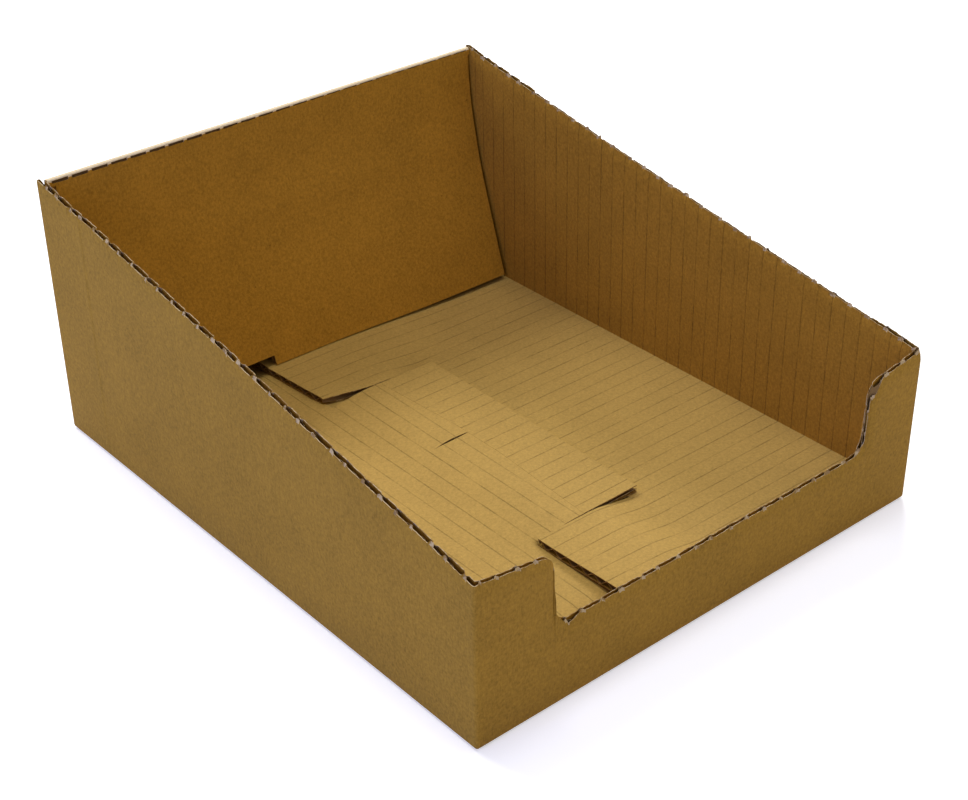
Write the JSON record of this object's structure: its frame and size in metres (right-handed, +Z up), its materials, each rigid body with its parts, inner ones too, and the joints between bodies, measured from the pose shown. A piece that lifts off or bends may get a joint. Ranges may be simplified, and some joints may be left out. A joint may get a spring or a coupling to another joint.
{
  "type": "corrugated box",
  "caption": "Open corrugated cardboard tray box with torn sloping sides, a lowered front lip, a snap-lock bottom and a top flap folded down inside the back wall.",
  "frame": {"origin": "bottom centre of the box, on the plane it rests on", "axes": "+X right along the front wall, +Y from the front wall to the back wall, +Z up"},
  "size_m": [0.2, 0.239, 0.103],
  "materials": {
    "kraft_board": "matte brown kraft liner"
  },
  "bodies": {
    "tray": {"tray": "kraft_board"},
    "flap": {"back_flap": "kraft_board"}
  },
  "joints": [
    {"name": "flap_fold", "type": "hinge", "parent": "tray", "child": "flap", "pos_m": [0, 0.11635, 0.1002], "axis": [-1, 0, 0], "range_deg": [0, 175]}
  ]
}
